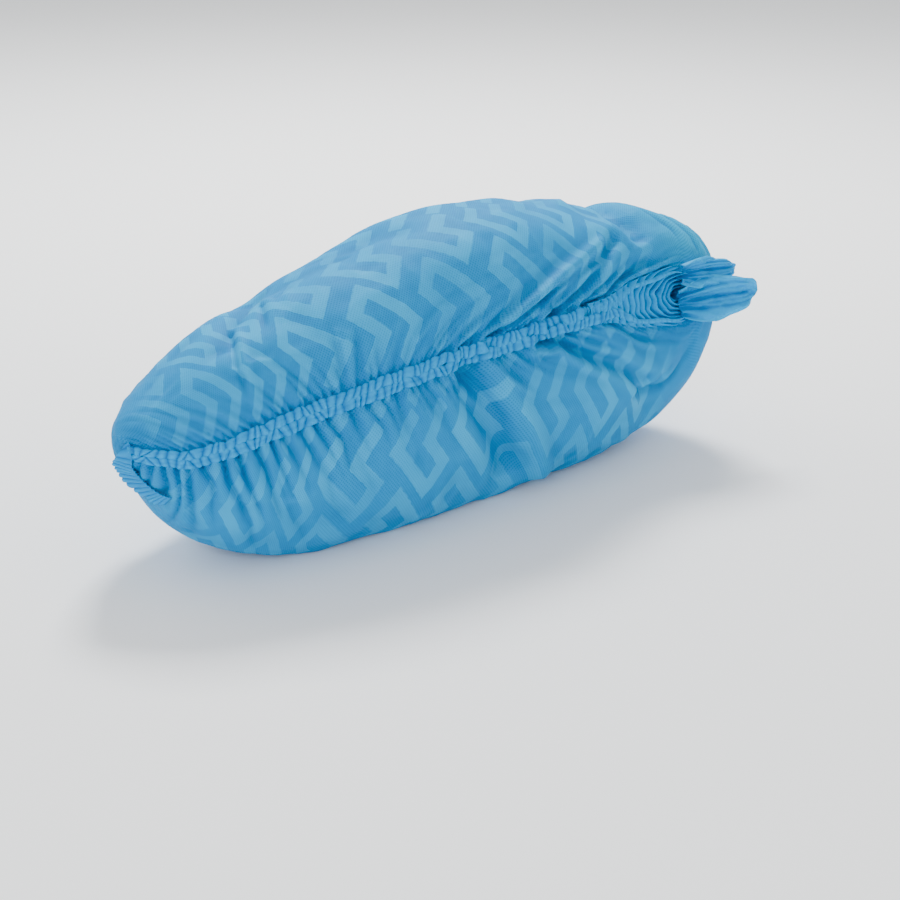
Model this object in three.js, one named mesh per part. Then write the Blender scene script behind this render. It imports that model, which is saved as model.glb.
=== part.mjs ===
// A disposable shoe cover of thin nonwoven cloth, opened up and lying on its side.
// Its long mouth faces -Y and is drawn nearly shut by a gathered elastic hem.
// X runs from the toe to the heel, Z is up, the floor is z = 0, and sizes are in millimetres.
import * as THREE from 'three';
import { mergeVertices } from 'three/addons/utils/BufferGeometryUtils.js';

// sizes of the stuffed body
const bodyLength = 300;
const bodyDepth = 100;
const bodyHeight = 120;
const wall = 1.5;
const toeRound = 46;
const heelRound = 46;
const cornering = 2.3; // exponent of the sections, 2 is an ellipse

// sizes of the mouth and its hem
const hemWidth = 5.2;
const hemThickness = 3.4;
const hemStart = 0.004; // shares of bodyLength between which the hem runs
const hemEnd = 0.9;
const mouthSlot = 1.6;
const fit = 0.3; // clearance between neighbouring pieces
const gatherPitch = 6.25;
const gatherDepth = 1.6;
const gatherReach = 22;
const hemFade = 0.03; // share of bodyLength over which the lips close up past the hem
const puckerSwell = 0.25; // how much thicker the hem is on a pucker, as a share
const puckerPinch = 0.12; // how much narrower it is between two puckers, as a share
const hemEdge = 0.55; // thickness of the hem's edges as a share of its middle

// sizes of the loose cloth at the ends
const leafThickness = 2.2;
const leafLength = 36;
const leafWidth = 19;
const leafFold = 0.22; // rise of a leaf's edges as a share of its width
const leafRoot = 0.37; // widths of a leaf at its root and tip as shares of its own width
const leafTip = 0.2;
const leafBelly = 0.8; // less than 1 for a fuller leaf
const leafSkew = 1.2; // more than 1 moves the widest place to the tip
const leafCup = 1.5; // exponent of the fold across a leaf, 1 is a sharp crease
const seamHeight = 2.2;
const seamThickness = 1.4;
const seamRun = 0.12; // share of bodyLength that a seam runs along the back
const seamMouth = 0.04; // share of bodyLength that the heel's seam runs along the front
const seamRuffle = 0.12; // waviness of a seam's edge as a share of seamHeight

const around = 20; // columns from the upper lip round the back to the lower lip
const lipCrowding = 1.6; // exponent that draws the columns to the lips
const endCrowding = 0.35; // share by which the stations are drawn to the ends
const gathers = Math.round(bodyLength / gatherPitch);
const stations = 2 * gathers; // each gather has one ridge and one valley

// Sections of the body from toe to heel. at: share of bodyLength. high, low: shares of bodyHeight.
// deep: share of bodyDepth. shift: share of bodyDepth that the middle moves to the back.
const sections = [
  { at: 0.00, high: 0.67, low: 0.27, deep: 0.58, shift: 0.00 },
  { at: 0.07, high: 0.70, low: 0.10, deep: 0.70, shift: 0.00 },
  { at: 0.20, high: 0.81, low: -0.02, deep: 0.86, shift: 0.00 },
  { at: 0.35, high: 0.92, low: -0.05, deep: 1.00, shift: 0.00 },
  { at: 0.50, high: 1.01, low: -0.05, deep: 1.00, shift: 0.00 },
  { at: 0.65, high: 1.00, low: -0.04, deep: 1.00, shift: 0.00 },
  { at: 0.75, high: 0.95, low: -0.02, deep: 0.98, shift: 0.00 },
  { at: 0.83, high: 0.91, low: 0.02, deep: 0.94, shift: 0.00 },
  { at: 0.88, high: 0.91, low: 0.06, deep: 0.91, shift: -0.02 },
  { at: 0.93, high: 0.92, low: 0.10, deep: 0.88, shift: -0.05 },
  { at: 1.00, high: 0.98, low: 0.20, deep: 0.86, shift: -0.12 },
];

// The mouth at the same places. slit: degrees that it is turned up from -Y. gape: its opening as a
// multiple of mouthSlot. valley: depth of the hem's valley as a share of hemWidth. above, below: how
// far the gathers run from the hem over and under it, as shares of gatherReach.
const mouths = [
  { at: 0.00, slit: 2, gape: 1, valley: 0.2, above: 1.8, below: 2.2 },
  { at: 0.07, slit: 16, gape: 1, valley: 0.6, above: 1.5, below: 2.0 },
  { at: 0.20, slit: 22, gape: 1, valley: 0.9, above: 1.1, below: 1.4 },
  { at: 0.35, slit: 21, gape: 1, valley: 1.0, above: 1.0, below: 1.0 },
  { at: 0.50, slit: 17, gape: 1, valley: 1.1, above: 1.0, below: 1.0 },
  { at: 0.65, slit: 19, gape: 1.2, valley: 1.3, above: 1.1, below: 1.0 },
  { at: 0.75, slit: 22, gape: 2.5, valley: 1.5, above: 1.3, below: 1.2 },
  { at: 0.83, slit: 22, gape: 6, valley: 1.7, above: 1.4, below: 1.4 },
  { at: 0.88, slit: 20, gape: 8, valley: 1.6, above: 1.4, below: 1.4 },
  { at: 0.93, slit: 18, gape: 3, valley: 1.2, above: 1.3, below: 1.3 },
  { at: 1.00, slit: 12, gape: 1, valley: 0.2, above: 1.2, below: 1.2 },
];

// Dents and folds. at, toAt: ends along the body as shares of bodyLength. round, toRound: the same
// ends as shares of the way from the upper lip to the lower lip. wide: half width as a share of
// bodyLength. deep: depth as a share of bodyHeight, less than 0 for a ridge.
const folds = [
  { name: 'toe dent', at: 0.25, round: 0.27, toAt: 0.14, toRound: 0.155, wide: 0.024, deep: 0.032 },
  { name: 'heel dent', at: 0.845, round: 0.26, toAt: 0.84, toRound: 0.08, wide: 0.022, deep: 0.045 },
  { name: 'top bump', at: 0.745, round: 0.18, toAt: 0.76, toRound: 0.30, wide: 0.030, deep: -0.018 },
  { name: 'lower pinch', at: 0.46, round: 0.98, toAt: 0.54, toRound: 0.86, wide: 0.028, deep: 0.080 },
  { name: 'lobe ridge', at: 0.49, round: 0.985, toAt: 0.61, toRound: 0.83, wide: 0.016, deep: -0.025 },
  { name: 'long fold', at: 0.53, round: 0.015, toAt: 0.74, toRound: 0.075, wide: 0.011, deep: -0.022 },
  { name: 'deep fold', at: 0.62, round: 0.012, toAt: 0.78, toRound: 0.075, wide: 0.012, deep: 0.040 },
  { name: 'funnel fold', at: 0.68, round: 0.008, toAt: 0.84, toRound: 0.035, wide: 0.010, deep: 0.028 },
  { name: 'lower fold', at: 0.64, round: 0.985, toAt: 0.80, toRound: 0.915, wide: 0.014, deep: 0.035 },
  { name: 'heel facet', at: 0.81, round: 0.88, toAt: 0.90, toRound: 0.93, wide: 0.030, deep: 0.030 },
  { name: 'back crease', at: 0.30, round: 0.42, toAt: 0.46, toRound: 0.52, wide: 0.034, deep: 0.030 },
  { name: 'back dimple', at: 0.63, round: 0.50, toAt: 0.70, toRound: 0.62, wide: 0.040, deep: 0.035 },
  { name: 'toe back crease', at: 0.10, round: 0.46, toAt: 0.19, toRound: 0.58, wide: 0.028, deep: 0.024 },
];

// Leaves of the tuft. at: share of bodyLength where the root lies on the mouth's closed end.
// side: share of leafWidth that the root lies above its middle. off: share of leafThickness that
// the root is raised off the lips. long: share of leafLength. above, below: widths over and under
// the midrib as shares of leafWidth. swing, rise: degrees that the leaf points away from +X, to the
// front and up.
const leaves = [
  {
    name: 'tuft_leaf_long', at: 0.912, side: -0.05, off: -0.1,
    long: 1.0, above: 0.60, below: 0.48, swing: 22, rise: -10,
  },
  {
    name: 'tuft_leaf_short', at: 0.915, side: 0.66, off: 0.65,
    long: 0.78, above: 0.32, below: 0.26, swing: 4, rise: -3,
  },
];

// Reads every column of a table at a share of the length, smoothly between its rows.
function readTable(table, share) {
  const last = table.length - 1;
  let row = 0;
  while (row < last - 1 && share > table[row + 1].at) row++;
  const [a, b] = [table[row], table[row + 1]];
  const before = table[Math.max(row - 1, 0)];
  const after = table[Math.min(row + 2, last)];
  const span = b.at - a.at;
  const t = (share - a.at) / span;
  const read = (column) => {
    const startSlope = row === 0 ? (b[column] - a[column]) / span
      : (b[column] - before[column]) / (b.at - before.at);
    const endSlope = row + 1 === last ? (b[column] - a[column]) / span
      : (after[column] - a[column]) / (after.at - a.at);
    return (2 * t ** 3 - 3 * t ** 2 + 1) * a[column] + (t ** 3 - 2 * t ** 2 + t) * span * startSlope
      + (3 * t ** 2 - 2 * t ** 3) * b[column] + (t ** 3 - t ** 2) * span * endSlope;
  };
  return Object.fromEntries(Object.keys(a).map((column) => [column, read(column)]));
}

// The body's and the mouth's sizes together at a share of the length.
function sectionAt(share) {
  return { ...readTable(sections, share), ...readTable(mouths, share) };
}

// Share of the full section left near an end, a quarter circle that closes the body there.
function endRounding(share) {
  const toe = Math.min((share * bodyLength) / toeRound, 1);
  const heel = Math.min(((1 - share) * bodyLength) / heelRound, 1);
  return Math.sqrt(1 - (1 - toe) ** 2) * Math.sqrt(1 - (1 - heel) ** 2);
}

// A point of the smooth body. angle is measured round the section from the middle of the mouth,
// up over the top, down the back and along the floor.
function smoothPoint(share, angle) {
  const section = sectionAt(share);
  const rounding = endRounding(share);
  const halfDepth = 0.5 * section.deep * bodyDepth * rounding;
  const halfHeight = 0.5 * (section.high - section.low) * bodyHeight * rounding;
  const middle = 0.5 * (section.high + section.low) * bodyHeight;
  const turned = angle + THREE.MathUtils.degToRad(section.slit);
  const [c, s] = [Math.cos(turned), Math.sin(turned)];
  const reach = (Math.abs(c) ** cornering + Math.abs(s) ** cornering) ** (-1 / cornering);
  return new THREE.Vector3(
    (share - 0.5) * bodyLength,
    section.shift * bodyDepth - halfDepth * reach * c,
    Math.max(middle + halfHeight * reach * s, 0),
  );
}

// The outward direction of the smooth body, and along X at its two closed ends.
function smoothNormal(share, angle) {
  const step = 0.002;
  if (share < step) return new THREE.Vector3(-1, 0, 0);
  if (share > 1 - step) return new THREE.Vector3(1, 0, 0);
  const along = smoothPoint(share + step, angle).sub(smoothPoint(share - step, angle));
  const round = smoothPoint(share, angle + step).sub(smoothPoint(share, angle - step));
  return along.cross(round).normalize();
}

// Half the angle of a gap of the given half width in the section at this share.
function halfAngle(share, halfGap) {
  const halfDepth = 0.5 * sectionAt(share).deep * bodyDepth * endRounding(share);
  return Math.atan2(halfGap, Math.max(halfDepth, wall));
}

// Half the gap between the two lips of the cloth, with the hem's two rows and the slot in it.
// Past the hem's heel end the lips close up to the bare slot.
function lipGap(share) {
  const closing = THREE.MathUtils.smoothstep(share, hemEnd, hemEnd + hemFade);
  return 0.5 * sectionAt(share).gape * mouthSlot + (hemWidth + fit) * (1 - closing);
}

// Depth of all dents and folds at a place, each a soft groove round the line between its ends.
function foldDepth(share, round) {
  const girth = Math.PI * 0.5 * (bodyDepth + bodyHeight);
  let depth = 0;
  for (const fold of folds) {
    const runX = (fold.toAt - fold.at) * bodyLength;
    const runRound = (fold.toRound - fold.round) * girth;
    const x = (share - fold.at) * bodyLength;
    const y = (round - fold.round) * girth;
    const t = THREE.MathUtils.clamp((x * runX + y * runRound) / (runX ** 2 + runRound ** 2), 0, 1);
    const off = Math.hypot(x - t * runX, y - t * runRound) / (fold.wide * bodyLength);
    depth += fold.deep * bodyHeight * Math.exp(-off * off);
  }
  return depth;
}

// How far the cloth lies outside the smooth body: the hem's valley, the folds and the gathers,
// which run out from the hem and fade. ridge is 1 on a gather's ridge and -1 in its valley.
function clothLift(share, round, ridge) {
  const section = sectionAt(share);
  const rounding = endRounding(share);
  const girth = Math.PI * 0.5 * (section.deep * bodyDepth + section.high * bodyHeight) * rounding;
  const fromLip = Math.min(round, 1 - round) * girth;
  const valley = section.valley * hemWidth * Math.exp(-((fromLip / gatherReach) ** 2));
  const reach = gatherReach * (round < 0.5 ? section.above : section.below);
  const gather = 0.5 * gatherDepth * ridge * Math.exp(-((fromLip / reach) ** 2));
  return (gather - valley) * rounding - foldDepth(share, round) * rounding;
}

// The outer point, the matching inner point and the outward direction at one place of the cloth.
function clothPlace(share, round, ridge) {
  const half = halfAngle(share, lipGap(share));
  const angle = half + round * 2 * (Math.PI - half);
  const normal = smoothNormal(share, angle);
  const outer = smoothPoint(share, angle).addScaledVector(normal, clothLift(share, round, ridge));
  outer.z = Math.max(outer.z, 0);
  const inner = outer.clone().addScaledVector(normal, -wall);
  inner.z = Math.max(inner.z, wall);
  return { outer, inner, normal };
}

// Stations lie closer together towards the two ends.
function stationShare(station) {
  const even = station / stations;
  return even - (endCrowding * Math.sin(2 * Math.PI * even)) / (2 * Math.PI);
}

// Columns lie closer together towards the two lips.
function columnShare(column) {
  const even = (2 * column) / around;
  const crowded = (value) => 0.5 * value ** lipCrowding;
  return even <= 1 ? crowded(even) : 1 - crowded(2 - even);
}

// A closed body between two grids of points, the outer and the inner face of a piece of cloth.
function clothBody(outer, inner) {
  const rows = outer.length;
  const columns = outer[0].length;
  const points = [...outer.flat(), ...inner.flat()];
  const faces = [];
  const place = (layer, row, column) => (layer * rows + row) * columns + column;
  const quad = (a, b, c, d) => faces.push([a, b, c], [a, c, d]);
  for (let row = 0; row < rows - 1; row++) {
    for (let column = 0; column < columns - 1; column++) {
      const [a, b] = [place(0, row, column), place(0, row + 1, column)];
      const [c, d] = [place(0, row + 1, column + 1), place(0, row, column + 1)];
      const under = rows * columns;
      quad(a, b, c, d);
      quad(a + under, d + under, c + under, b + under);
    }
    quad(place(0, row + 1, 0), place(0, row, 0), place(1, row, 0), place(1, row + 1, 0));
    const end = columns - 1;
    quad(place(0, row, end), place(0, row + 1, end), place(1, row + 1, end), place(1, row, end));
  }
  for (let column = 0; column < columns - 1; column++) {
    const end = rows - 1;
    quad(place(0, 0, column), place(0, 0, column + 1), place(1, 0, column + 1), place(1, 0, column));
    const [a, b] = [place(0, end, column), place(0, end, column + 1)];
    const [c, d] = [place(1, end, column + 1), place(1, end, column)];
    quad(b, a, d, c);
  }
  const raw = new THREE.BufferGeometry().setFromPoints(points);
  raw.setIndex(faces.flat());
  const merged = mergeVertices(raw, 1e-4);
  const index = merged.index.array;
  const kept = faces.map((face, k) => [index[3 * k], index[3 * k + 1], index[3 * k + 2]])
    .filter(([a, b, c]) => a !== b && b !== c && c !== a);
  merged.setIndex(kept.flat());
  merged.computeVertexNormals();
  return merged;
}

// The body of the cover, closed at its two ends and open along the mouth.
function coverShell() {
  const outer = [];
  const inner = [];
  for (let station = 0; station <= stations; station++) {
    const ridge = station % 2 ? 1 : -1;
    const columns = Array.from({ length: around + 1 }, (_, column) => columnShare(column));
    const places = columns.map((round) => clothPlace(stationShare(station), round, ridge));
    outer.push(places.map((place) => place.outer));
    inner.push(places.map((place) => place.inner));
  }
  return clothBody(outer, inner);
}

// One row of the elastic hem along a lip, with a pucker at each gather. side is 1 above the mouth.
function hemRow(side) {
  const outer = [];
  const inner = [];
  for (let station = 0; station <= stations; station++) {
    const share = stationShare(station);
    if (share < hemStart || share > hemEnd) continue;
    const ridge = station % 2 ? 1 : -1;
    const lift = clothLift(share, side > 0 ? 0 : 1, 0);
    const middle = lipGap(share) - fit - hemWidth / 2;
    const half = 0.5 * hemThickness * (1 + puckerSwell * ridge);
    const edge = 0.5 * hemWidth * (1 - 0.5 * puckerPinch * (1 - ridge));
    const points = [-edge, 0, edge].map((offset) => {
      const angle = side * halfAngle(share, middle + offset);
      const normal = smoothNormal(share, angle);
      const on = smoothPoint(share, angle).addScaledVector(normal, lift);
      const high = half * (offset ? hemEdge : 1);
      const under = on.clone().addScaledVector(normal, -high);
      return { over: on.addScaledVector(normal, high), under };
    });
    outer.push(points.map((point) => point.over));
    inner.push(points.map((point) => point.under));
  }
  return side > 0 ? clothBody(outer, inner) : clothBody(inner, outer);
}

// A leaf of cloth folded along its midrib, from a narrow root on the mouth to a rounded tip.
function tuftLeaf(leaf) {
  const [swing, rise] = [leaf.swing, leaf.rise].map(THREE.MathUtils.degToRad);
  const along = new THREE.Vector3(Math.cos(swing) * Math.cos(rise), -Math.sin(swing), Math.sin(rise));
  const facing = new THREE.Vector3(0, -1, 0.35).addScaledVector(along, 0.5).normalize();
  const across = facing.clone().cross(along).normalize();
  const face = along.clone().cross(across).normalize();
  const angle = halfAngle(leaf.at, leaf.side * leafWidth);
  const rootFold = leafFold * (leafRoot * Math.min(leaf.above, leaf.below) * leafWidth);
  const lift = clothLift(leaf.at, 0, 0) + fit + (leaf.off + 0.5) * leafThickness - rootFold;
  const root = smoothPoint(leaf.at, angle).addScaledVector(smoothNormal(leaf.at, angle), lift);
  const rows = 9;
  const outer = [];
  const inner = [];
  for (let row = 0; row < rows; row++) {
    const s = row / (rows - 1);
    const belly = Math.sin(Math.PI * s ** leafSkew) ** leafBelly;
    const width = leafWidth * (leafRoot * (1 - s) + leafTip * s + (1 - leafTip) * belly);
    const line = [-1, -0.5, 0, 0.5, 1].map((v) => {
      const wide = (v < 0 ? leaf.below : leaf.above) * width;
      const fold = leafFold * wide * Math.abs(v) ** leafCup;
      return root.clone().addScaledVector(along, s * leaf.long * leafLength)
        .addScaledVector(across, v * wide).addScaledVector(face, fold);
    });
    outer.push(line.map((point) => point.clone().addScaledVector(face, 0.5 * leafThickness)));
    inner.push(line.map((point) => point.clone().addScaledVector(face, -0.5 * leafThickness)));
  }
  return clothBody(outer, inner);
}

// A welded end seam, a low ruffled flange that stands off the body. It runs from the mouth over
// the body's end and along the back. end is 0 for the toe and 1 for the heel.
function endSeam(end) {
  const rows = 25;
  const outer = [];
  const inner = [];
  const mouthRun = end ? seamMouth : 0;
  const reach = [-mouthRun, seamRun].map((run) => Math.sign(run) * Math.sqrt(Math.abs(run)));
  for (let row = 0; row < rows; row++) {
    const root = reach[0] + ((reach[1] - reach[0]) * row) / (rows - 1);
    const run = root * Math.abs(root);
    const share = end ? 1 - Math.abs(run) : Math.abs(run);
    const angle = run < 0 ? 0 : Math.PI;
    const wave = row % 2 ? 1 : -1;
    const normal = smoothNormal(share, angle);
    const base = smoothPoint(share, angle).addScaledVector(normal, fit);
    const sideways = new THREE.Vector3(0, 0, 1);
    const edge = base.clone().addScaledVector(normal, seamHeight * (1 + seamRuffle * wave))
      .addScaledVector(sideways, seamRuffle * seamHeight * wave);
    const pair = [base, edge];
    outer.push(pair.map((point) => point.clone().addScaledVector(sideways, 0.5 * seamThickness)));
    inner.push(pair.map((point) => point.clone().addScaledVector(sideways, -0.5 * seamThickness)));
  }
  return end ? clothBody(inner, outer) : clothBody(outer, inner);
}

function clothMaterial(color) {
  return new THREE.MeshStandardMaterial({ color, roughness: 0.75, metalness: 0 });
}

const clothBlue = 0x2896dc;
const hemBlue = 0x0f91f0;
const leafBlue = 0x32aff5;

const pieces = [
  { name: 'cover_shell', geometry: coverShell(), color: clothBlue },
  { name: 'hem_upper', geometry: hemRow(1), color: hemBlue },
  { name: 'hem_lower', geometry: hemRow(-1), color: hemBlue },
  ...leaves.map((leaf) => ({ name: leaf.name, geometry: tuftLeaf(leaf), color: leafBlue })),
  { name: 'toe_seam', geometry: endSeam(0), color: clothBlue },
  { name: 'heel_seam', geometry: endSeam(1), color: clothBlue },
];

const cover = new THREE.Group();
for (const { name, geometry, color } of pieces) {
  const mesh = new THREE.Mesh(geometry, clothMaterial(color));
  mesh.name = name;
  cover.add(mesh);
}

// The origin is on the floor under the middle of the whole cover.
const extent = new THREE.Box3().setFromObject(cover);
const centre = extent.getCenter(new THREE.Vector3());
cover.position.set(-centre.x, -centre.y, -extent.min.z);

export default cover;
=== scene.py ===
import math
import bmesh
import bpy
import numpy as np
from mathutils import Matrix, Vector


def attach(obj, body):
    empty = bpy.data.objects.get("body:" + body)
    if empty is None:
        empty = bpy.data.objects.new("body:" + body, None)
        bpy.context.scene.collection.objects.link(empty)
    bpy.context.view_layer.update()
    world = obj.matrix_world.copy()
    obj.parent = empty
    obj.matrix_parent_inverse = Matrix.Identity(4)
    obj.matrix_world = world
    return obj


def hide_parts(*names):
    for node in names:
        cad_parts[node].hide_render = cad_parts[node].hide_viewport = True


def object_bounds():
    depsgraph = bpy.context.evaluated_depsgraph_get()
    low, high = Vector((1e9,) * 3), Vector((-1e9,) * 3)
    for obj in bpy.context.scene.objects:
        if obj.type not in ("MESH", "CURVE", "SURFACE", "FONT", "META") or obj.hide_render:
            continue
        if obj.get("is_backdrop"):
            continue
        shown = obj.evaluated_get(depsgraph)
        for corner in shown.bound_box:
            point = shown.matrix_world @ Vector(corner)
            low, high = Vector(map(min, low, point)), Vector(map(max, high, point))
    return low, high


# A disposable shoe cover of thin blue nonwoven, opened up and lying on its side.
# Lengths are in metres unless a note says millimetres. A place on the cloth is two shares: share,
# from the toe (0) to the heel (1), and round, from the upper lip of the mouth (0) over the back to
# the lower lip (1).

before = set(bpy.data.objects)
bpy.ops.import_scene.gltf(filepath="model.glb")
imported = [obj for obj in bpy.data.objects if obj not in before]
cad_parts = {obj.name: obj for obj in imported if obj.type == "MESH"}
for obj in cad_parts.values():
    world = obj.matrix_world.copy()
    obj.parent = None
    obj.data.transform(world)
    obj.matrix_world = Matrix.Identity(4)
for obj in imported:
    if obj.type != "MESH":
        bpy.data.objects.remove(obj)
cadBox = [list(corner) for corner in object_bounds()]
random = np.random.default_rng(417)


# small tools

def linearColour(code):
    # sRGB hex to linear: the standard two-part curve, channel by channel
    channels = [int(code[k:k + 2], 16) / 255 for k in (1, 3, 5)]
    return [c / 12.92 if c <= 0.04045 else ((c + 0.055) / 1.055) ** 2.4 for c in channels] + [1.0]


def smoothStep(low, high, value):
    # 0 below low, 1 above high, and an S-shaped cubic in between
    t = np.clip((value - low) / (high - low), 0, 1)
    return t * t * (3 - 2 * t)


latticeSize = 97
lattice = random.uniform(-1, 1, (latticeSize, latticeSize))


def ridges(number, sharpness, middle):
    # rounded ridges with sharp valleys, one for each whole number: twice |sin| to a power, less a middle
    return 2 * np.abs(np.sin(math.pi * number)) ** sharpness - middle


def smoothNoise(u, v):
    # random numbers on a square lattice, blended between its four corners with an S-shaped weight
    i, j = np.floor(u).astype(int), np.floor(v).astype(int)
    a, b = smoothStep(0, 1, u - i), smoothStep(0, 1, v - j)
    corner = lambda di, dj: lattice[(i + di) % latticeSize, (j + dj) % latticeSize]
    low = corner(0, 0) * (1 - a) + corner(1, 0) * a
    high = corner(0, 1) * (1 - a) + corner(1, 1) * a
    return low * (1 - b) + high * b


def newObject(name, data):
    made = bpy.data.objects.new(name, data)
    bpy.context.collection.objects.link(made)
    return made


def gridMesh(name, points, closed=False, uv=None, paint=None, poles=False, thickness=0):
    # one quad between each four neighbours of a grid of points, columns joined round if closed;
    # with poles, the first and the last row shrink to one point each; with a thickness, a real wall
    # of cloth lies inwards from the modelled face
    rows, columns = points.shape[:2]
    number = np.arange(rows * columns).reshape(rows, columns)
    right = np.roll(number, -1, axis=1) if closed else number[:, 1:]
    left = number if closed else number[:, :-1]
    quads = np.stack([left[:-1], left[1:], right[1:], right[:-1]], axis=-1).reshape(-1, 4)
    mesh = bpy.data.meshes.new(name)
    mesh.from_pydata(points.reshape(-1, 3).tolist(), [], quads.tolist())
    if uv is not None:
        layer = mesh.uv_layers.new(name="cloth")
        corners = np.empty(len(mesh.loops), dtype=np.int32)
        mesh.loops.foreach_get("vertex_index", corners)
        layer.data.foreach_set("uv", uv.reshape(-1, 2)[corners].astype(np.float32).ravel())
    for attribute, values in (paint or {}).items():
        layer = mesh.attributes.new(attribute, "FLOAT", "POINT")
        layer.data.foreach_set("value", values.astype(np.float32).ravel())
    if poles:
        closePoles(mesh)
    mesh.polygons.foreach_set("use_smooth", [True] * len(mesh.polygons))
    mesh.update()
    piece = newObject(name, mesh)
    if thickness:
        solid = piece.modifiers.new("wall", "SOLIDIFY")
        solid.thickness = thickness
        solid.offset = -1
        solid.use_even_offset = False
    return piece


def closePoles(mesh):
    # merges points that lie together, as in each end row, and drops the faces that this flattens
    soft = bmesh.new()
    soft.from_mesh(mesh)
    bmesh.ops.remove_doubles(soft, verts=soft.verts, dist=2e-5)
    bmesh.ops.dissolve_degenerate(soft, edges=soft.edges, dist=1e-6)
    soft.to_mesh(mesh)
    soft.free()


# the stuffed body

body = {
    "length": 0.300, "depth": 0.100, "height": 0.120,
    "toeRound": 0.046, "heelRound": 0.046, "cornering": 2.3, "wall": 0.0015,
    "origin": (-0.0014, 0.0013),
    "hemWidth": 0.0052, "hemStart": 0.004, "hemEnd": 0.9, "hemFade": 0.03,
    "mouthSlot": 0.0016, "fit": 0.0003, "valleyReach": 0.022,
    # how far the heel swells past the solid, and the share from which it does
    "heelFull": 0.003, "heelFullFrom": 0.86,
    # share, high and low (of height), deep and shift (of depth), slit (degrees), gape, valley
    "sections": np.array([
        [0.00, 0.67, 0.27, 0.58, 0.00, 2, 1, 0.2],
        [0.07, 0.70, 0.10, 0.70, 0.00, 16, 1, 0.6],
        [0.20, 0.81, -0.02, 0.86, 0.00, 22, 1, 0.9],
        [0.35, 0.92, -0.05, 1.00, 0.00, 21, 1, 1.0],
        [0.50, 1.01, -0.05, 1.00, 0.00, 17, 1, 1.1],
        [0.65, 1.00, -0.04, 1.00, 0.00, 19, 1.2, 1.3],
        [0.75, 0.95, -0.02, 0.98, 0.00, 22, 2.5, 1.5],
        [0.83, 0.91, 0.02, 0.94, 0.00, 22, 6, 1.7],
        [0.88, 0.91, 0.06, 0.91, -0.02, 20, 8, 1.6],
        [0.93, 0.92, 0.10, 0.88, -0.05, 18, 3, 1.2],
        [1.00, 0.98, 0.20, 0.86, -0.12, 12, 1, 0.2],
    ]),
}


def readSection(share):
    # a cubic through the table's rows whose slopes are those of the neighbouring rows
    table = body["sections"]
    at, values = table[:, 0], table[:, 1:]
    last = len(at) - 1
    row = np.searchsorted(at[1:-1], share, side="left")
    before, after = np.maximum(row - 1, 0), np.minimum(row + 2, last)
    span = (at[row + 1] - at[row])[..., None]
    t = ((share - at[row]) / span[..., 0])[..., None]
    a, b = values[row], values[row + 1]
    plain = (b - a) / span
    backward = (b - values[before]) / (at[row + 1] - at[before])[..., None]
    forward = (values[after] - a) / (at[after] - at[row])[..., None]
    start = np.where((row == 0)[..., None], plain, backward)
    end = np.where((row + 1 == last)[..., None], plain, forward)
    read = ((2 * t**3 - 3 * t**2 + 1) * a + (t**3 - 2 * t**2 + t) * span * start
            + (3 * t**2 - 2 * t**3) * b + (t**3 - t**2) * span * end)
    names = ("high", "low", "deep", "shift", "slit", "gape", "valley")
    return {name: read[..., k] for k, name in enumerate(names)}


def endRounding(share):
    # a quarter circle at each end: the share of the full section that is left there
    toe = np.clip(share * body["length"] / body["toeRound"], 0, 1)
    heel = np.clip((1 - share) * body["length"] / body["heelRound"], 0, 1)
    return np.sqrt(1 - (1 - toe) ** 2) * np.sqrt(1 - (1 - heel) ** 2)


def smoothPoint(share, angle):
    # a superellipse section, turned by its slit angle and swept along X; the floor flattens it
    section, rounding = readSection(share), endRounding(share)
    halfDepth = 0.5 * section["deep"] * body["depth"] * rounding
    halfHeight = 0.5 * (section["high"] - section["low"]) * body["height"] * rounding
    middle = 0.5 * (section["high"] + section["low"]) * body["height"]
    turned = angle + np.radians(section["slit"])
    c, s, n = np.cos(turned), np.sin(turned), body["cornering"]
    reach = (np.abs(c) ** n + np.abs(s) ** n) ** (-1 / n)
    x = (share - 0.5) * body["length"] + body["origin"][0]
    x = x + body["heelFull"] * smoothStep(body["heelFullFrom"], 1, share)
    y = section["shift"] * body["depth"] - halfDepth * reach * c + body["origin"][1]
    z = np.maximum(middle + halfHeight * reach * s, 0)
    return np.stack(np.broadcast_arrays(x, y, z), axis=-1)


def outwards(share, angle):
    # the cross product of the directions along and round the body, and X itself at its two ends
    step = 0.002
    inner = np.clip(share, step, 1 - step)
    along = smoothPoint(inner + step, angle) - smoothPoint(inner - step, angle)
    around = smoothPoint(inner, angle + step) - smoothPoint(inner, angle - step)
    normal = np.cross(along, around)
    normal /= np.linalg.norm(normal, axis=-1, keepdims=True) + 1e-12
    normal[share < step] = (-1, 0, 0)
    normal[share > 1 - step] = (1, 0, 0)
    return normal


def halfAngle(share, halfGap):
    # the angle whose tangent is half the gap over half the depth of the section
    halfDepth = 0.5 * readSection(share)["deep"] * body["depth"] * endRounding(share)
    return np.arctan2(halfGap, np.maximum(halfDepth, body["wall"]))


def lipGap(share):
    # half the bare slot plus a row of the hem, which closes up past the hem's end
    closing = smoothStep(body["hemEnd"], body["hemEnd"] + body["hemFade"], share)
    slot = 0.5 * readSection(share)["gape"] * body["mouthSlot"]
    return slot + (body["hemWidth"] + body["fit"]) * (1 - closing)


def girthAt(share):
    # the way round a section, taken as a circle with the mean of its depth and height
    section = readSection(share)
    diameters = section["deep"] * body["depth"] + section["high"] * body["height"]
    return math.pi * 0.5 * diameters * endRounding(share)


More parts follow.
